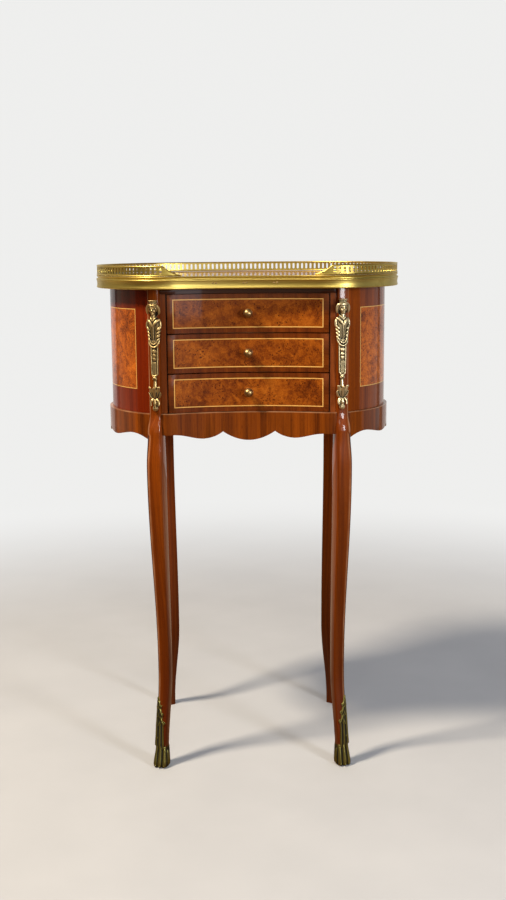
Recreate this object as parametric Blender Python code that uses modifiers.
"""Kidney-shaped side table with three drawers, cabriole legs, a brass band and a pierced gallery.

Metres, +Z up. The floor is z = 0, the front faces -Y and the origin lies under the middle of the top.
"""
import math

import bmesh
import bpy
from mathutils import Matrix, Vector

# Clearances
FIT = 0.0003               # between pieces that touch
DRAWER_GAP = 0.0016        # round a drawer front
RUN_GAP = 0.0004           # under a drawer side

# Plan of the case: the line of its veneered faces, as tangent arcs
CASE_HALF_WIDTH = 0.210
END_RADIUS = 0.140
CORNER_RADIUS = 0.045
CORNER_ANGLE = math.radians(57.0)      # where an end runs into its front corner
FRONT_HOLLOW = 0.0187                  # depth of the concave front
BACK_BOW = 0.005                       # how far the back swells past the ends' radius

# Heights above the floor
CASE_TOP = 0.722
APRON_TOP = 0.5425

# Table top
TOP_OVERHANG = 0.020
TOP_THICKNESS = 0.0185
BAND_WIDTH = 0.0060
BAND_FACE = 0.0115         # height of the band's broad lower face
BAND_BEAD = 0.0025         # height of the bead above that face
BAND_COVE = 0.0018         # how far the cove over the bead sinks in

# Gallery
GALLERY_HEIGHT = 0.0150
GALLERY_WALL = 0.0018
GALLERY_INSET = 0.0022     # from the band's face to the middle of the wall
GALLERY_RAMP = 0.020       # length of the sloping front tips
GALLERY_TIP = 0.0040       # height left at a tip
GALLERY_SPLIT = math.radians(68.0)     # where the back length meets the end lengths
SLOT_PITCH = 0.0071
SLOT_WIDTH = 0.0038
SLOT_SILL = 0.0032
SLOT_HEIGHT = 0.0085

# Case boards
RAIL_HEIGHT = 0.0065
PANEL_THICKNESS = 0.008
PARTITION_THICKNESS = 0.008
SUB_TOP_THICKNESS = 0.0062
BOTTOM_THICKNESS = 0.012
DUSTBOARD_THICKNESS = 0.005
HOUSING_DEPTH = 0.004      # how far a dustboard runs into a partition
FRONT_STILE_WIDTH = 0.0084  # beside a front leg, up to the drawers
PARTITION_BACK_GAP = 0.0067  # between a partition and the case's curved wall behind it

# Apron
APRON_STEP = 0.0045        # how far it stands out from the case
APRON_THICKNESS = 0.014
MIDDLE_LOBE_DROP = 0.0420
CUSP_DROP = 0.0287
SIDE_LOBE_DROP = 0.0385
LEG_DROP = 0.0315
ARCH_DROP = 0.0360
BRACKET_DROP = 0.0460
FRONT_CUSP = 0.0387        # distances from the middle of the front
FRONT_SIDE_LOBE = 0.0665
FRONT_LOBE_END = 0.1105
END_CUSP = 0.0500          # distances from the middle of an end, along its curve
END_SIDE_LOBE = 0.0750
END_ARCH = 0.1120
END_BRACKET = 0.1600

# Legs
FRONT_LEG_ANGLE = math.radians(72.0)   # direction of the rim where a leg stands
BACK_LEG_ANGLE = math.radians(60.5)
LEG_SET_IN = 0.004         # from the case line to the middle of the stile
STILE_WIDTH = 0.017
KNEE_HEIGHT = 0.465
KNEE_SHIFT = 0.006
KNEE_WIDTH = 0.0235
ANKLE_HEIGHT = 0.150
ANKLE_SHIFT = -0.011
ANKLE_WIDTH = 0.0172
FOOT_SHIFT = 0.007
FOOT_WIDTH = 0.0150
FOOT_STRAIGHT = 0.008      # length that stands upright on the floor
LEG_CHAMFER = 0.14         # share of the width taken off each corner
LEG_STEPS = 8              # rings in each bend of a leg

# Bronze foot
SABOT_SOLE = 0.004
SABOT_HEIGHT = 0.109
PAW_HEIGHT = 0.035
PAW_WIDTH = 0.025
PAW_REACH = 0.002          # how far the toes stand out past the middle of the foot
CUFF_WALL = 0.0022
LEAF_STAND = 0.0022        # how far the leaf stands out from the leg

# Bronze figure on the stile
FIGURE_TOP = 0.0127        # below the case's top
FIGURE_HEIGHT = 0.160
FIGURE_SET_OUT = 0.0015    # its axis in front of the stile's face
HEAD_WIDTH = 0.0165
SHOULDER_WIDTH = 0.023
SHAFT_TOP_WIDTH = 0.013
SHAFT_FOOT_WIDTH = 0.010
NECK_WIDTH = 0.007
HUSK_WIDTH = 0.016

# Drawers
DRAWER_NAMES = ("bottom", "middle", "top")
FRONT_THICKNESS = 0.014    # at the middle of the hollow front
SIDE_THICKNESS = 0.008
SIDE_SET_IN = 0.0005       # from the front's end to the side's outer face
DRAWER_END_GAP = 0.015     # from a side's rear end to the partitions' back edge
SIDE_HEADROOM = 0.002      # under the board above
TAIL_LENGTH = 0.010
TAIL_ROOT = 0.0055         # half heights of a dovetail
TAIL_TIP = 0.0080
TAIL_PITCH = 0.022         # least distance between dovetails up a side
DRAWER_BOTTOM_THICKNESS = 0.004
DRAWER_BOTTOM_RISE = 0.005
GROOVE_DEPTH = 0.004
DRAWER_BACK_THICKNESS = 0.007
DRAWER_BACK_INSET = 0.012
DRAWER_BACK_DIP = 0.004    # below the sides' top edge

# Knobs and screws
KNOB_RADIUS = 0.0058
KNOB_NECK_RADIUS = 0.0030
KNOB_BASE_RADIUS = 0.0050
KNOB_BASE = 0.0014
KNOB_REACH = 0.0165        # from the drawer front to the tip
KNOB_BORE = 0.0080
KNOB_SCREW_RADIUS = 0.0016
TOP_SCREW_RADIUS = 0.0020
TOP_SCREW_BITE = 0.010     # length in the top panel
TOP_SCREW_INSET = 0.055    # from the case's widest point
TOP_SCREW_Y = 0.040
SCREW_HEAD = 0.0022        # height of a screw's head, as wide as twice its shank

# Spacing of facets
ARC_STEP = math.radians(7.5)
STRIP_STEP = 0.009
TURN_STEPS = 12
BORE_STEPS = 12
SCREW_STEPS = 8

FINISHES = {
    "walnut": ((0.33, 0.12, 0.030), 0.22, 0.0),
    "mahogany": ((0.16, 0.045, 0.018), 0.25, 0.0),
    "lining": ((0.42, 0.27, 0.13), 0.60, 0.0),
    "brass": ((0.70, 0.47, 0.16), 0.25, 1.0),
    "bronze": ((0.30, 0.22, 0.10), 0.40, 1.0),
    "steel": ((0.45, 0.44, 0.42), 0.40, 1.0),
}

# Centres and radii that follow from the plan's driving sizes
END_X = CASE_HALF_WIDTH - END_RADIUS
CORNER_X = END_X + (END_RADIUS - CORNER_RADIUS) * math.cos(CORNER_ANGLE)
CORNER_Y = -(END_RADIUS - CORNER_RADIUS) * math.sin(CORNER_ANGLE)
FRONT_REACH = CORNER_RADIUS - CORNER_Y
HOLLOW_Y = FRONT_HOLLOW - FRONT_REACH
HOLLOW_RADIUS = ((CORNER_X ** 2 + (HOLLOW_Y - CORNER_Y) ** 2 - CORNER_RADIUS ** 2)
                 / (2 * (CORNER_RADIUS + HOLLOW_Y - CORNER_Y)))
HOLLOW_CENTRE_Y = HOLLOW_Y - HOLLOW_RADIUS
CORNER_JOIN = math.atan2(HOLLOW_CENTRE_Y - CORNER_Y, -CORNER_X)
BACK_REACH = END_RADIUS + BACK_BOW
BACK_CENTRE_Y = (BACK_BOW ** 2 - END_X ** 2) / (2 * BACK_BOW)
BACK_RADIUS = BACK_REACH - BACK_CENTRE_Y
BACK_JOIN = math.atan2(-BACK_CENTRE_Y, END_X)
PLAN_SHIFT = (FRONT_REACH - BACK_REACH) / 2


def rim_point(angle, offset):
    """Point on the right half's convex rim whose outward direction has this angle."""
    if angle > BACK_JOIN:
        x, y, radius = 0.0, BACK_CENTRE_Y, BACK_RADIUS
    elif angle > -CORNER_ANGLE:
        x, y, radius = END_X, 0.0, END_RADIUS
    else:
        x, y, radius = CORNER_X, CORNER_Y, CORNER_RADIUS
    radius += offset
    return x + radius * math.cos(angle), y + radius * math.sin(angle) + PLAN_SHIFT


def front_y(x, offset):
    """The front line: hollow in the middle, round at the corners."""
    join = CORNER_X + (CORNER_RADIUS + offset) * math.cos(CORNER_JOIN)
    if abs(x) < join:
        return HOLLOW_CENTRE_Y + math.sqrt((HOLLOW_RADIUS - offset) ** 2 - x ** 2) + PLAN_SHIFT
    return CORNER_Y - math.sqrt((CORNER_RADIUS + offset) ** 2 - (abs(x) - CORNER_X) ** 2) + PLAN_SHIFT


def back_y(x, offset):
    """The back line: swelled a little in the middle, round at the ends."""
    join = END_X + (END_RADIUS + offset) * math.cos(BACK_JOIN)
    if abs(x) < join:
        return BACK_CENTRE_Y + math.sqrt((BACK_RADIUS + offset) ** 2 - x ** 2) + PLAN_SHIFT
    return math.sqrt((END_RADIUS + offset) ** 2 - (abs(x) - END_X) ** 2) + PLAN_SHIFT


# Levels and planes that follow from the driving sizes
OPENING_TOP = CASE_TOP - RAIL_HEIGHT
DRAWER_PITCH = (OPENING_TOP - APRON_TOP) / len(DRAWER_NAMES)
TOP_BOTTOM = CASE_TOP + FIT
TOP_SURFACE = TOP_BOTTOM + TOP_THICKNESS
FRONT_PLANE = HOLLOW_Y + PLAN_SHIFT + FRONT_THICKNESS
FRONT_LEG_X = rim_point(-FRONT_LEG_ANGLE, -LEG_SET_IN)[0]
OPENING_HALF_WIDTH = FRONT_LEG_X - STILE_WIDTH / 2 - FRONT_STILE_WIDTH
PARTITION_OUTER = OPENING_HALF_WIDTH + PARTITION_THICKNESS
PARTITION_BACK = back_y(PARTITION_OUTER, -PANEL_THICKNESS) - PARTITION_BACK_GAP
DRAWER_HALF_WIDTH = OPENING_HALF_WIDTH - DRAWER_GAP / 2
SIDE_LENGTH = PARTITION_BACK - FRONT_PLANE - DRAWER_END_GAP
SIDE_OUTER = DRAWER_HALF_WIDTH - SIDE_SET_IN
SIDE_INNER = SIDE_OUTER - SIDE_THICKNESS
SIDE_TOP = DRAWER_PITCH - DUSTBOARD_THICKNESS - SIDE_HEADROOM

for old in list(bpy.data.objects):
    bpy.data.objects.remove(old, do_unlink=True)
PARTS = bpy.data.collections.new("kidney_side_table")
CUTTERS = bpy.data.collections.new("kidney_side_table_cutters")
bpy.context.scene.collection.children.link(PARTS)
bpy.context.scene.collection.children.link(CUTTERS)


def make_finish(name):
    """Principled material for one of the finishes."""
    colour, roughness, metallic = FINISHES[name]
    material = bpy.data.materials.new(name)
    material.use_nodes = True
    shader = material.node_tree.nodes["Principled BSDF"]
    shader.inputs["Base Color"].default_value = (*colour, 1.0)
    shader.inputs["Roughness"].default_value = roughness
    shader.inputs["Metallic"].default_value = metallic
    return material


MATERIALS = {name: make_finish(name) for name in FINISHES}


def add_part(name, mesh, finish, parent=None):
    """One named piece, in its parent's frame if it has one."""
    mesh.materials.clear()
    mesh.materials.append(MATERIALS[finish])
    obj = bpy.data.objects.new(name, mesh)
    PARTS.objects.link(obj)
    obj.parent = parent
    return obj


def add_cutter(name, mesh, parent=None):
    """A hidden solid that only cuts others."""
    obj = bpy.data.objects.new(name, mesh)
    CUTTERS.objects.link(obj)
    obj.parent = parent
    obj.hide_render = True
    obj.display_type = "WIRE"
    return obj


def add_frame(name, place, turn=0.0):
    """An empty that carries the pieces of one leg or one drawer."""
    empty = bpy.data.objects.new(name, None)
    PARTS.objects.link(empty)
    empty.location = place
    empty.rotation_euler = (0.0, 0.0, turn)
    return empty


def cut(obj, *cutters):
    """Take each cutter out of a piece."""
    for cutter in cutters:
        modifier = obj.modifiers.new("cut", "BOOLEAN")
        modifier.operation = "DIFFERENCE"
        modifier.solver = "EXACT"
        modifier.object = cutter
    return obj


def evaluated_mesh(obj):
    """The object's mesh with its modifiers or bevel in it, welded."""
    bpy.context.view_layer.update()
    graph = bpy.context.evaluated_depsgraph_get()
    mesh = bpy.data.meshes.new_from_object(obj.evaluated_get(graph))
    edit = bmesh.new()
    edit.from_mesh(mesh)
    bmesh.ops.remove_doubles(edit, verts=edit.verts, dist=1e-6)
    edit.to_mesh(mesh)
    edit.free()
    return mesh


def taken_mesh(*objects):
    """The first object's finished mesh. All the objects named are removed."""
    mesh = evaluated_mesh(objects[0])
    for obj in objects:
        bpy.data.objects.remove(obj, do_unlink=True)
    return mesh


def carved_mesh(mesh, *cutters):
    """A mesh with other meshes cut out of it."""
    blank = add_cutter("blank", mesh)
    tools = [add_cutter("tool", cutter) for cutter in cutters]
    return taken_mesh(cut(blank, *tools), *tools)


def face_outwards(mesh):
    """Turn every face of a closed mesh to point out."""
    edit = bmesh.new()
    edit.from_mesh(mesh)
    bmesh.ops.recalc_face_normals(edit, faces=edit.faces)
    edit.to_mesh(mesh)
    edit.free()
    return mesh


def line_curve(points, flat, closed):
    """A curve of straight runs through points of two or three coordinates."""
    curve = bpy.data.curves.new("line", "CURVE")
    curve.dimensions = "2D" if flat else "3D"
    spline = curve.splines.new("POLY")
    spline.points.add(len(points) - 1)
    for point, place in zip(spline.points, points):
        point.co = (*Vector(place).to_3d(), 1.0)
    spline.use_cyclic_u = closed
    return curve


def flat_mesh(outline, bottom, top, matrix=None):
    """A flat outline extruded from one level to another, then placed by a matrix."""
    curve = line_curve(outline, flat=True, closed=True)
    curve.fill_mode = "BOTH"
    curve.extrude = (top - bottom) / 2
    mesh = taken_mesh(add_cutter("outline", curve))
    mesh.transform(Matrix.Translation((0.0, 0.0, (top + bottom) / 2)))
    if matrix:
        mesh.transform(matrix)
    return mesh


def box_mesh(low, high):
    """A box between two corners."""
    low, high = Vector(low), Vector(high)
    edit = bmesh.new()
    bmesh.ops.create_cube(edit, size=1.0)
    bmesh.ops.scale(edit, vec=high - low, verts=edit.verts)
    bmesh.ops.translate(edit, vec=(low + high) / 2, verts=edit.verts)
    mesh = bpy.data.meshes.new("box")
    edit.to_mesh(mesh)
    edit.free()
    return mesh


def cylinder_mesh(radius, low, high):
    """An upright cylinder between two heights, on the Z axis."""
    edit = bmesh.new()
    bmesh.ops.create_cone(edit, cap_ends=True, segments=BORE_STEPS, radius1=radius, radius2=radius,
                          depth=high - low)
    bmesh.ops.translate(edit, vec=(0.0, 0.0, (low + high) / 2), verts=edit.verts)
    mesh = bpy.data.meshes.new("cylinder")
    edit.to_mesh(mesh)
    edit.free()
    return mesh


def turned_mesh(profile, steps):
    """A profile of (radius, height), from its top down its outer side, turned about Z."""
    edit = bmesh.new()
    points = [edit.verts.new((radius, 0.0, height)) for radius, height in profile]
    for first, second in zip(points, points[1:]):
        edit.edges.new((first, second))
    mesh = bpy.data.meshes.new("profile")
    edit.to_mesh(mesh)
    edit.free()
    obj = add_cutter("profile", mesh)
    screw = obj.modifiers.new("turn", "SCREW")
    screw.steps = screw.render_steps = steps
    screw.use_merge_vertices = True
    screw.merge_threshold = 1e-6
    mesh = taken_mesh(obj)
    mesh.shade_smooth()
    mesh.set_sharp_from_angle(angle=math.radians(40.0))
    return mesh


def swept_mesh(path, radii, section=None):
    """A tube along a path of points, round or of a unit section, scaled by the radius at each point."""
    curve = line_curve(path, flat=False, closed=False)
    curve.use_fill_caps = True
    curve.bevel_resolution = 2
    curve.bevel_depth = 1.0
    for point, radius in zip(curve.splines[0].points, radii):
        point.radius = radius
    used = [add_cutter("path", curve)]
    if section:
        used.append(add_cutter("section", line_curve(section, flat=True, closed=True)))
        curve.bevel_mode = "OBJECT"
        curve.bevel_object = used[1]
    return face_outwards(taken_mesh(*used))


def moulding_mesh(path, section):
    """A section of (inwards, up) carried round a closed flat path."""
    curve = line_curve(path, flat=True, closed=True)
    curve.bevel_mode = "OBJECT"
    curve.bevel_object = add_cutter("section", line_curve(section, flat=True, closed=True))
    return face_outwards(taken_mesh(add_cutter("path", curve), curve.bevel_object))


def strip_mesh(columns, thickness):
    """An upright strip through columns of (x, y, bottom, top), thickened towards the case's inside."""
    edit = bmesh.new()
    spans = len(columns) - 1
    bmesh.ops.create_grid(edit, x_segments=spans, y_segments=1, size=1.0)
    for vertex in edit.verts:
        x, y, bottom, top = columns[round((vertex.co.x + 1.0) / 2.0 * spans)]
        vertex.co = (x, y, top if vertex.co.y > 0.0 else bottom)
    mesh = bpy.data.meshes.new("strip")
    edit.to_mesh(mesh)
    edit.free()
    obj = add_cutter("strip", mesh)
    solidify = obj.modifiers.new("thickness", "SOLIDIFY")
    solidify.thickness = thickness
    solidify.offset = 1.0
    solidify.use_even_offset = True
    return taken_mesh(obj)


def steps_between(start, end, step):
    """Evenly spaced values from start to end, no further apart than step."""
    count = max(1, math.ceil(abs(end - start) / step - 1e-9))
    return [start + (end - start) * index / count for index in range(count + 1)]


def ease(start, end, share):
    """Smooth change between two values, level at both ends."""
    return start + (end - start) * (1.0 - math.cos(math.pi * share)) / 2.0


def rim_distance(angle, offset):
    """Length along the rim from the middle of the back to the point with this direction."""
    back = (BACK_RADIUS + offset) * (math.pi / 2 - max(angle, BACK_JOIN))
    end = (END_RADIUS + offset) * (BACK_JOIN - min(BACK_JOIN, max(angle, -CORNER_ANGLE)))
    corner = (CORNER_RADIUS + offset) * (-CORNER_ANGLE - min(angle, -CORNER_ANGLE))
    return back + end + corner


def rim_angle(distance, offset):
    """Direction of the rim at a length from the middle of the back."""
    to_end = rim_distance(BACK_JOIN, offset)
    to_corner = rim_distance(-CORNER_ANGLE, offset)
    if distance < to_end:
        return math.pi / 2 - distance / (BACK_RADIUS + offset)
    if distance < to_corner:
        return BACK_JOIN - (distance - to_end) / (END_RADIUS + offset)
    return -CORNER_ANGLE - (distance - to_corner) / (CORNER_RADIUS + offset)


def rim_at(distance, offset):
    """Point of the rim at a length from the middle of the back, to the left where it is negative."""
    x, y = rim_point(rim_angle(abs(distance), offset), offset)
    return math.copysign(x, distance), y


def kidney(offset):
    """The closed plan, offset outwards from the case line."""
    joins = (math.pi / 2, BACK_JOIN, -CORNER_ANGLE, CORNER_JOIN)
    right = []
    for start, end in zip(joins, joins[1:]):
        right += [rim_point(angle, offset) for angle in steps_between(start, end, ARC_STEP)][1:]
    radius = HOLLOW_RADIUS - offset
    for angle in steps_between(CORNER_JOIN + math.pi, math.pi / 2, ARC_STEP / 2)[1:-1]:
        right.append((radius * math.cos(angle), HOLLOW_CENTRE_Y + radius * math.sin(angle) + PLAN_SHIFT))
    back = rim_point(math.pi / 2, offset)
    front = (0.0, HOLLOW_Y - offset + PLAN_SHIFT)
    left = [(-x, y) for x, y in reversed(right)]
    return [back, *right, front, *left]


def leg_axis(height):
    """Outward shift and width of a leg at a height."""
    stations = (
        (CASE_TOP, 0.0, STILE_WIDTH),
        (APRON_TOP, 0.0, STILE_WIDTH),
        (KNEE_HEIGHT, KNEE_SHIFT, KNEE_WIDTH),
        (ANKLE_HEIGHT, ANKLE_SHIFT, ANKLE_WIDTH),
        (FOOT_STRAIGHT, FOOT_SHIFT, FOOT_WIDTH),
        (0.0, FOOT_SHIFT, FOOT_WIDTH),
    )
    for upper, lower in zip(stations, stations[1:]):
        if height >= lower[0]:
            share = min(1.0, max(0.0, (upper[0] - height) / (upper[0] - lower[0])))
            return ease(upper[1], lower[1], share), ease(upper[2], lower[2], share)
    return stations[-1][1:]


def leg_mesh(top, foot, grow=0.0):
    """A cabriole leg in its own frame, +X outwards, grown all round where it is a cutter."""
    flat, side = 0.5 - LEG_CHAMFER, 0.5
    section = [(side, flat), (flat, side), (-flat, side), (-side, flat),
               (-side, -flat), (-flat, -side), (flat, -side), (side, -flat)]
    heights = [top, APRON_TOP]
    for start, end in ((APRON_TOP, KNEE_HEIGHT), (KNEE_HEIGHT, ANKLE_HEIGHT), (ANKLE_HEIGHT, FOOT_STRAIGHT)):
        heights += steps_between(start, end, abs(start - end) / LEG_STEPS)[1:]
    heights.append(foot)
    path = [(leg_axis(height)[0], 0.0, height) for height in heights]
    widths = [leg_axis(height)[1] + 2 * grow for height in heights]
    return swept_mesh(path, widths, section)


def leg_frames():
    """Each leg's name, its place on the floor and the direction it faces."""
    frames = []
    for end, angle in (("front", -FRONT_LEG_ANGLE), ("back", BACK_LEG_ANGLE)):
        x, y = rim_point(angle, -LEG_SET_IN)
        frames.append((f"{end}_right", (x, y, 0.0), angle))
        frames.append((f"{end}_left", (-x, y, 0.0), math.pi - angle))
    return frames


def build_legs():
    """Four legs. Returns the frame and the coping cutter of each."""
    frames, cutters = {}, {}
    for name, place, turn in leg_frames():
        foot = SABOT_SOLE + FIT if name.startswith("front") else 0.0
        frames[name] = add_frame(f"{name}_corner", place, turn)
        add_part(f"{name}_leg", leg_mesh(CASE_TOP, foot), "mahogany", frames[name])
        reach = leg_mesh(CASE_TOP + TOP_THICKNESS, foot - FIT, FIT)
        cutters[name] = add_cutter(f"{name}_leg_cutter", reach, frames[name])
    return frames, cutters


def build_sabot(name, frame, cutter):
    """A bronze foot: a paw under the leg, a cuff round it and a leaf up its outer face."""
    foot_shift, foot_width = leg_axis(0.0)
    toe = foot_shift + PAW_REACH
    cuff_shift, cuff_width = leg_axis(PAW_HEIGHT)
    corner = math.sqrt(2.0) * (1.0 - LEG_CHAMFER) / 2.0
    stations = [
        (0.0, toe, PAW_WIDTH * 0.46),
        (PAW_HEIGHT * 0.12, toe, PAW_WIDTH * 0.50),
        (PAW_HEIGHT * 0.45, toe - PAW_REACH * 0.2, PAW_WIDTH * 0.49),
        (PAW_HEIGHT * 0.80, foot_shift + PAW_REACH * 0.1, foot_width * corner + CUFF_WALL),
        (PAW_HEIGHT, cuff_shift, cuff_width * corner + CUFF_WALL),
    ]
    for share in (0.25, 0.5, 0.75, 1.0):
        height = PAW_HEIGHT + (SABOT_HEIGHT - PAW_HEIGHT) * share
        shift, width = leg_axis(height)
        radius = cuff_width * 0.5 * (1.0 - 0.85 * share)
        stations.append((height, shift + width / 2 + LEAF_STAND - radius, radius))
    path = [(shift, 0.0, height) for height, shift, radius in stations]
    mesh = swept_mesh(path, [radius for height, shift, radius in stations])
    ground = box_mesh((-PAW_WIDTH, -PAW_WIDTH, -PAW_WIDTH), (2 * PAW_WIDTH, PAW_WIDTH, 0.0))
    cut(add_part(name, carved_mesh(mesh, ground), "bronze", frame), cutter)


def build_figure(name, frame):
    """A bronze term figure with a flat back on the stile: head, shoulders, tapering shaft and husk."""
    top = CASE_TOP - FIGURE_TOP
    stations = (
        (0.000, 0.0), (0.004, HEAD_WIDTH * 0.70), (0.022, HEAD_WIDTH * 0.80), (0.055, HEAD_WIDTH),
        (0.110, HEAD_WIDTH * 0.96), (0.160, HEAD_WIDTH * 0.72), (0.185, HEAD_WIDTH * 0.66),
        (0.215, SHOULDER_WIDTH * 0.92), (0.240, SHOULDER_WIDTH), (0.300, SHOULDER_WIDTH * 0.88),
        (0.380, SHOULDER_WIDTH * 0.74), (0.440, SHAFT_TOP_WIDTH), (0.720, SHAFT_FOOT_WIDTH),
        (0.735, SHAFT_FOOT_WIDTH * 1.15), (0.755, SHAFT_FOOT_WIDTH), (0.775, NECK_WIDTH),
        (0.800, HUSK_WIDTH * 0.62), (0.840, HUSK_WIDTH), (0.890, HUSK_WIDTH * 0.80),
        (0.930, HUSK_WIDTH * 0.85), (0.975, HUSK_WIDTH * 0.40), (1.000, 0.0),
    )
    profile = [(width / 2, top - FIGURE_HEIGHT * share) for share, width in stations]
    mesh = turned_mesh(profile, TURN_STEPS)
    face = STILE_WIDTH / 2 + FIT
    mesh.transform(Matrix.Translation((face + FIGURE_SET_OUT, 0.0, 0.0)))
    behind = box_mesh((face - SHOULDER_WIDTH, -SHOULDER_WIDTH, 0.0), (face, SHOULDER_WIDTH, CASE_TOP))
    add_part(name, carved_mesh(mesh, behind), "bronze", frame)


def build_top():
    """The veneered top panel and the moulded brass band round it."""
    panel = flat_mesh(kidney(TOP_OVERHANG - BAND_WIDTH - FIT), TOP_BOTTOM, TOP_SURFACE)
    add_part("top_panel", carved_mesh(panel, *top_screw_bores()), "walnut")

    bead = BAND_FACE + BAND_BEAD
    round_off = BAND_BEAD / 2
    face = round_off / 3
    section = (
        (BAND_WIDTH, 0.0), (round_off, 0.0), (face, round_off), (face, BAND_FACE),
        (0.0, BAND_FACE + round_off), (face, bead), (BAND_COVE, bead),
        (BAND_COVE, TOP_THICKNESS - round_off), (face, TOP_THICKNESS), (BAND_WIDTH, TOP_THICKNESS),
    )
    band = moulding_mesh(kidney(TOP_OVERHANG), section)
    band.transform(Matrix.Translation((0.0, 0.0, TOP_BOTTOM)))
    add_part("top_band", band, "brass")


def build_gallery():
    """The pierced brass rail, in three lengths, open at the front, where its tips slope down."""
    offset = TOP_OVERHANG - GALLERY_INSET + GALLERY_WALL / 2
    base = TOP_SURFACE + FIT
    split = rim_distance(GALLERY_SPLIT, offset)
    tip = rim_distance(CORNER_JOIN, offset)
    slope = tip - GALLERY_RAMP
    lengths = (
        ("gallery_left", -slope, -split - FIT / 2, (-tip,), ()),
        ("gallery_back", -split + FIT / 2, split - FIT / 2, (), ()),
        ("gallery_right", split + FIT / 2, slope, (), (tip,)),
    )
    for name, start, end, before, after in lengths:
        count = 2 * max(1, round((end - start) / SLOT_PITCH / 2))
        pitch = (end - start) / count
        edges = [start + pitch * index for index in range(0, count + 1, 2)]
        columns = []
        for distance in (*before, *edges, *after):
            height = GALLERY_TIP if abs(distance) == tip else GALLERY_HEIGHT
            columns.append((*rim_at(distance, offset), base, base + height))
        slots = bmesh.new()
        for index in range(count):
            distance = start + pitch * (index + 0.5)
            x, y = rim_at(distance, offset - GALLERY_WALL / 2)
            turn = rim_angle(abs(distance), offset)
            turn = turn if distance > 0.0 else math.pi - turn
            size = Matrix.Diagonal((GALLERY_WALL * 3, SLOT_WIDTH, SLOT_HEIGHT, 1.0))
            place = Matrix.Translation((x, y, base + SLOT_SILL + SLOT_HEIGHT / 2))
            bmesh.ops.create_cube(slots, size=1.0, matrix=place @ Matrix.Rotation(turn, 4, "Z") @ size)
        piercing = bpy.data.meshes.new("slots")
        slots.to_mesh(piercing)
        slots.free()
        add_part(name, carved_mesh(strip_mesh(columns, GALLERY_WALL), piercing), "brass")


def top_screw_places():
    """Where the top is screwed down, in the ends beside the drawers."""
    reach = CASE_HALF_WIDTH - TOP_SCREW_INSET
    return [(x, y) for x in (-reach, reach) for y in (-TOP_SCREW_Y, TOP_SCREW_Y)]


def top_screw_bores():
    """Holes up through the sub-top and into the top panel."""
    radius = TOP_SCREW_RADIUS + FIT
    low, high = CASE_TOP - SUB_TOP_THICKNESS - radius, TOP_BOTTOM + TOP_SCREW_BITE + FIT
    bores = []
    for x, y in top_screw_places():
        bore = cylinder_mesh(radius, low, high)
        bore.transform(Matrix.Translation((x, y, 0.0)))
        bores.append(bore)
    return bores


def screw_mesh(radius, length):
    """A round-headed screw: its head below z = 0, its shank above."""
    head = 2 * radius
    profile = ((0.0, length), (radius * 0.4, length), (radius, length - radius), (radius, 0.0), (head, 0.0),
               (head, -SCREW_HEAD * 0.6), (head * 0.6, -SCREW_HEAD), (0.0, -SCREW_HEAD))
    return turned_mesh(profile, SCREW_STEPS)


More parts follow.
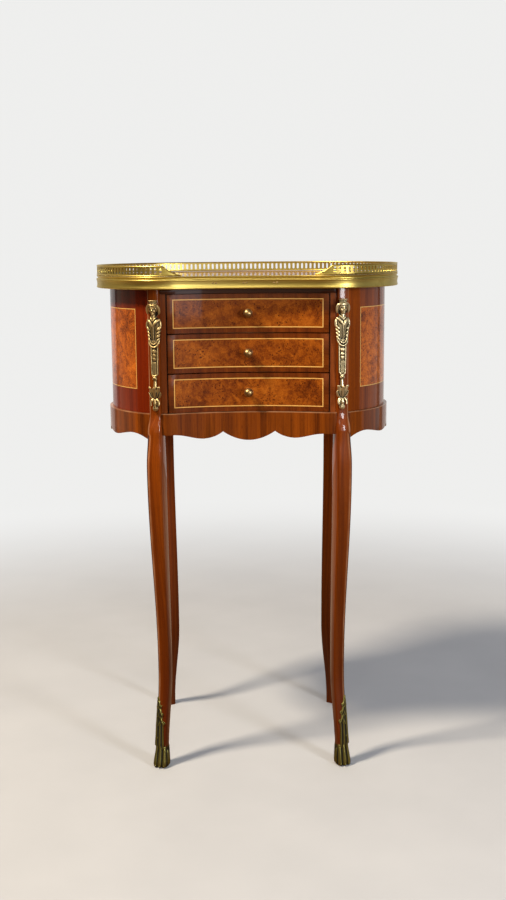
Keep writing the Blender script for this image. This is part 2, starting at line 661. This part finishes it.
def build_case(legs):
    """End and back panels, sub-top, bottom, front rail, stiles, partitions and dustboards."""
    front_right, front_left = legs["front_right"], legs["front_left"]
    back_right, back_left = legs["back_right"], legs["back_left"]
    panel_bottom = APRON_TOP + FIT
    to_back_leg = rim_distance(BACK_LEG_ANGLE, 0.0)
    to_front_leg = rim_distance(-FRONT_LEG_ANGLE, 0.0)
    walls = (
        ("left_end_panel", -to_front_leg, -to_back_leg, (front_left, back_left)),
        ("back_panel", -to_back_leg, to_back_leg, (back_left, back_right)),
        ("right_end_panel", to_back_leg, to_front_leg, (front_right, back_right)),
    )
    for name, start, end, beside in walls:
        places = [rim_at(distance, 0.0) for distance in steps_between(start, end, STRIP_STEP)]
        wall = strip_mesh([(x, y, panel_bottom, CASE_TOP) for x, y in places], PANEL_THICKNESS)
        cut(add_part(name, wall, "walnut"), *beside)

    inside = kidney(-PANEL_THICKNESS - FIT)
    sub_top = flat_mesh(inside, CASE_TOP - SUB_TOP_THICKNESS, CASE_TOP)
    rail_zone = box_mesh((-CASE_HALF_WIDTH, -2 * FRONT_REACH, 0.0),
                         (CASE_HALF_WIDTH, FRONT_PLANE + FIT, CASE_TOP + TOP_THICKNESS))
    cut(add_part("sub_top", carved_mesh(sub_top, rail_zone, *top_screw_bores()), "lining"), *legs.values())
    for index, (x, y) in enumerate(top_screw_places(), 1):
        mesh = screw_mesh(TOP_SCREW_RADIUS, SUB_TOP_THICKNESS + FIT + TOP_SCREW_BITE)
        screw = add_part(f"top_screw_{index}", mesh, "steel")
        screw.location = (x, y, CASE_TOP - SUB_TOP_THICKNESS - FIT)

    bottom = flat_mesh(kidney(APRON_STEP - APRON_THICKNESS - FIT), APRON_TOP - BOTTOM_THICKNESS, APRON_TOP)
    cut(add_part("bottom_board", bottom, "lining"), *legs.values())

    rail = [(x, front_y(x, 0.0)) for x in steps_between(-FRONT_LEG_X, FRONT_LEG_X, STRIP_STEP)]
    rail += [(FRONT_LEG_X, FRONT_PLANE), (-FRONT_LEG_X, FRONT_PLANE)]
    front_rail = flat_mesh(rail, OPENING_TOP, CASE_TOP)
    cut(add_part("front_rail", front_rail, "mahogany"), front_left, front_right)

    low, high = APRON_TOP + FIT, OPENING_TOP - FIT
    for name, side, leg in (("left", -1.0, front_left), ("right", 1.0, front_right)):
        places = steps_between(OPENING_HALF_WIDTH, FRONT_LEG_X, STRIP_STEP)
        line = [(side * x, front_y(x, 0.0)) for x in places]
        line += [(side * FRONT_LEG_X, FRONT_PLANE), (side * OPENING_HALF_WIDTH, FRONT_PLANE)]
        cut(add_part(f"front_stile_{name}", flat_mesh(line, low, high), "mahogany"), leg)

    boards = [APRON_TOP + DRAWER_PITCH * index for index in range(1, len(DRAWER_NAMES))]
    reach = OPENING_HALF_WIDTH + HOUSING_DEPTH
    for name, side in (("left", -1.0), ("right", 1.0)):
        middle = side * (OPENING_HALF_WIDTH + PARTITION_OUTER) / 2
        partition = box_mesh((middle - PARTITION_THICKNESS / 2, FRONT_PLANE + FIT, low),
                             (middle + PARTITION_THICKNESS / 2, PARTITION_BACK, high))
        housings = [box_mesh((-reach, FRONT_PLANE, level - DUSTBOARD_THICKNESS - FIT),
                             (reach, PARTITION_BACK + FIT, level + FIT)) for level in boards]
        add_part(f"partition_{name}", carved_mesh(partition, *housings), "lining")
    for name, level in zip(("lower", "upper"), boards):
        board = box_mesh((FIT - reach, FRONT_PLANE + FIT, level - DUSTBOARD_THICKNESS),
                         (reach - FIT, PARTITION_BACK, level))
        add_part(f"dustboard_{name}", board, "lining")


def scallop(distance, stations):
    """Drop of a shaped lower edge. A station is (distance, drop, sharp): lobes are level, cusps are sharp."""
    for first, second in zip(stations, stations[1:]):
        if distance <= second[0]:
            share = (distance - first[0]) / (second[0] - first[0])
            if second[2]:
                return first[1] + (second[1] - first[1]) * share ** 2
            if first[2]:
                return second[1] + (first[1] - second[1]) * (1.0 - share) ** 2
            return ease(first[1], second[1], share)
    return stations[-1][1]


def scallop_steps(stations, reach):
    """Distances from the middle that follow a shaped edge, with a column at each station."""
    marks = [station[0] for station in stations if station[0] < reach] + [reach]
    steps = [0.0]
    for start, end in zip(marks, marks[1:]):
        steps += steps_between(start, end, STRIP_STEP)[1:]
    return steps


def build_aprons(legs):
    """The shaped aprons between the legs, each standing a little proud of the case."""
    top = APRON_TOP
    waved = (
        (0.0, MIDDLE_LOBE_DROP, False), (FRONT_CUSP, CUSP_DROP, True),
        (FRONT_SIDE_LOBE, SIDE_LOBE_DROP, False), (FRONT_LOBE_END, LEG_DROP, False),
        (CASE_HALF_WIDTH, LEG_DROP, False),
    )
    bracketed = (
        (0.0, MIDDLE_LOBE_DROP, False), (END_CUSP, CUSP_DROP, True),
        (END_SIDE_LOBE, MIDDLE_LOBE_DROP, False), (END_ARCH, ARCH_DROP, False),
        (END_BRACKET, BRACKET_DROP, True),
    )
    half = scallop_steps(waved, FRONT_LEG_X)
    places = half[:0:-1] + [-x for x in half]
    columns = [(x, front_y(x, APRON_STEP), top - scallop(abs(x), waved), top) for x in places]
    front = add_part("apron_front", strip_mesh(columns, APRON_THICKNESS), "mahogany")
    cut(front, legs["front_left"], legs["front_right"])

    half = scallop_steps(waved, rim_distance(BACK_LEG_ANGLE, APRON_STEP))
    places = [-distance for distance in half[:0:-1]] + half
    columns = [(*rim_at(place, APRON_STEP), top - scallop(abs(place), waved), top) for place in places]
    back = add_part("apron_back", strip_mesh(columns, APRON_THICKNESS), "mahogany")
    cut(back, legs["back_left"], legs["back_right"])

    middle = rim_distance(0.0, APRON_STEP)
    to_back = scallop_steps(bracketed, middle - rim_distance(BACK_LEG_ANGLE, APRON_STEP))
    to_front = scallop_steps(bracketed, rim_distance(-FRONT_LEG_ANGLE, APRON_STEP) - middle)
    for name, side in (("left", -1.0), ("right", 1.0)):
        places = [middle - step for step in to_back[:0:-1]] + [middle + step for step in to_front]
        places = [side * place for place in places]
        columns = []
        for place in sorted(places):
            drop = scallop(abs(abs(place) - middle), bracketed)
            columns.append((*rim_at(place, APRON_STEP), top - drop, top))
        apron = add_part(f"apron_{name}", strip_mesh(columns, APRON_THICKNESS), "mahogany")
        cut(apron, legs[f"front_{name}"], legs[f"back_{name}"])


def tail_outline(root_y, tip_y, middle, grow):
    """One dovetail in the plane of a drawer side, grown all round where it is a socket."""
    return [(root_y, middle - TAIL_ROOT - grow), (root_y, middle + TAIL_ROOT + grow),
            (tip_y, middle + TAIL_TIP + grow), (tip_y, middle - TAIL_TIP - grow)]


def drawer_meshes():
    """The pieces of one drawer. Its origin is on the front's back plane, level with the board it runs on."""
    upright = Matrix(((0, 0, 1, 0), (1, 0, 0, 0), (0, 1, 0, 0), (0, 0, 0, 1)))
    front_low, front_high = DRAWER_GAP / 2, DRAWER_PITCH - DRAWER_GAP / 2
    line = [(x, front_y(x, 0.0) - FRONT_PLANE)
            for x in steps_between(-DRAWER_HALF_WIDTH, DRAWER_HALF_WIDTH, STRIP_STEP)]
    line += [(DRAWER_HALF_WIDTH, 0.0), (-DRAWER_HALF_WIDTH, 0.0)]
    middle = (front_low + front_high) / 2

    side_low = RUN_GAP
    side_height = SIDE_TOP - side_low
    tail_count = max(1, int(side_height / TAIL_PITCH))
    tails = [side_low + side_height * (index + 0.5) / tail_count for index in range(tail_count)]
    panel_low = side_low + DRAWER_BOTTOM_RISE
    panel_high = panel_low + DRAWER_BOTTOM_THICKNESS
    panel_x = SIDE_INNER + GROOVE_DEPTH
    groove = ((-panel_x, -GROOVE_DEPTH, panel_low - FIT), (panel_x, SIDE_LENGTH + FIT, panel_high + FIT))
    back_y = SIDE_LENGTH - DRAWER_BACK_INSET
    housing = ((-panel_x, back_y - DRAWER_BACK_THICKNESS - FIT, panel_high),
               (panel_x, back_y + FIT, SIDE_TOP + FIT))

    sockets = []
    for tail in tails:
        outline = tail_outline(FIT, -TAIL_LENGTH - FIT, tail, FIT)
        sockets.append(flat_mesh(outline, SIDE_INNER - FIT, CASE_HALF_WIDTH, upright))
        sockets.append(flat_mesh(outline, -CASE_HALF_WIDTH, FIT - SIDE_INNER, upright))
    bore = cylinder_mesh(KNOB_SCREW_RADIUS + FIT, -FRONT_REACH, FRONT_REACH)
    bore.transform(Matrix.Translation((0.0, 0.0, middle)) @ Matrix.Rotation(math.pi / 2, 4, "X"))
    front_groove = box_mesh((FIT - SIDE_OUTER, *groove[0][1:]), (SIDE_OUTER - FIT, *groove[1][1:]))
    front = carved_mesh(flat_mesh(line, front_low, front_high), *sockets, front_groove, bore)

    board = [(FIT, side_low)]
    for tail in tails:
        root_low, root_high, tip_high, tip_low = tail_outline(FIT, -TAIL_LENGTH, tail, 0.0)
        board += [root_low, tip_low, tip_high, root_high]
    board += [(FIT, SIDE_TOP), (SIDE_LENGTH, SIDE_TOP), (SIDE_LENGTH, side_low)]
    left = flat_mesh(board, -SIDE_OUTER, -SIDE_INNER, upright)
    right = flat_mesh(board, SIDE_INNER, SIDE_OUTER, upright)
    open_groove = ((groove[0][0], groove[0][1] - TAIL_LENGTH, groove[0][2]), groove[1])

    rear = box_mesh((FIT - panel_x, back_y - DRAWER_BACK_THICKNESS, panel_high + FIT),
                    (panel_x - FIT, back_y, SIDE_TOP - DRAWER_BACK_DIP))
    panel = box_mesh((FIT - panel_x, FIT - GROOVE_DEPTH, panel_low), (panel_x - FIT, SIDE_LENGTH, panel_high))

    face = front_y(0.0, 0.0) - FRONT_PLANE - FIT
    knob = knob_mesh()
    knob.transform(Matrix.Translation((0.0, face, middle)) @ Matrix.Rotation(math.pi / 2, 4, "X"))
    screw = screw_mesh(KNOB_SCREW_RADIUS, FRONT_THICKNESS + FIT + KNOB_BORE)
    screw.transform(Matrix.Translation((0.0, FIT, middle)) @ Matrix.Rotation(math.pi / 2, 4, "X"))
    return {
        "front": (front, "walnut"),
        "left_side": (carved_mesh(left, box_mesh(*open_groove), box_mesh(*housing)), "lining"),
        "right_side": (carved_mesh(right, box_mesh(*open_groove), box_mesh(*housing)), "lining"),
        "back": (rear, "lining"),
        "bottom": (panel, "lining"),
        "knob": (knob, "brass"),
        "knob_screw": (screw, "steel"),
    }


def knob_mesh():
    """A turned ball knob on a short neck, with a blind hole for its screw."""
    centre = KNOB_REACH - KNOB_RADIUS
    join = math.asin(KNOB_NECK_RADIUS / KNOB_RADIUS)
    ball = steps_between(0.0, math.pi - join, math.pi / 8)
    profile = [(KNOB_RADIUS * math.sin(angle), centre + KNOB_RADIUS * math.cos(angle)) for angle in ball]
    bore = KNOB_SCREW_RADIUS + FIT
    profile += [(KNOB_NECK_RADIUS, KNOB_BASE * 2), (KNOB_BASE_RADIUS, KNOB_BASE), (KNOB_BASE_RADIUS, 0.0),
                (bore, 0.0), (bore, KNOB_BORE), (0.0, KNOB_BORE)]
    return turned_mesh(profile, TURN_STEPS)


def build_drawers():
    """Three like drawers, each on its own empty."""
    meshes = drawer_meshes()
    for index, name in enumerate(DRAWER_NAMES):
        level = APRON_TOP + DRAWER_PITCH * index
        frame = add_frame(f"{name}_drawer_slide", (0.0, FRONT_PLANE, level))
        for piece, (mesh, finish) in meshes.items():
            add_part(f"{name}_drawer_{piece}", mesh, finish, frame)


def build_table():
    frames, cutters = build_legs()
    build_top()
    build_gallery()
    build_case(cutters)
    build_aprons(cutters)
    build_drawers()
    for side in ("left", "right"):
        build_sabot(f"sabot_{side}", frames[f"front_{side}"], cutters[f"front_{side}"])
        build_figure(f"figure_{side}", frames[f"front_{side}"])


build_table()
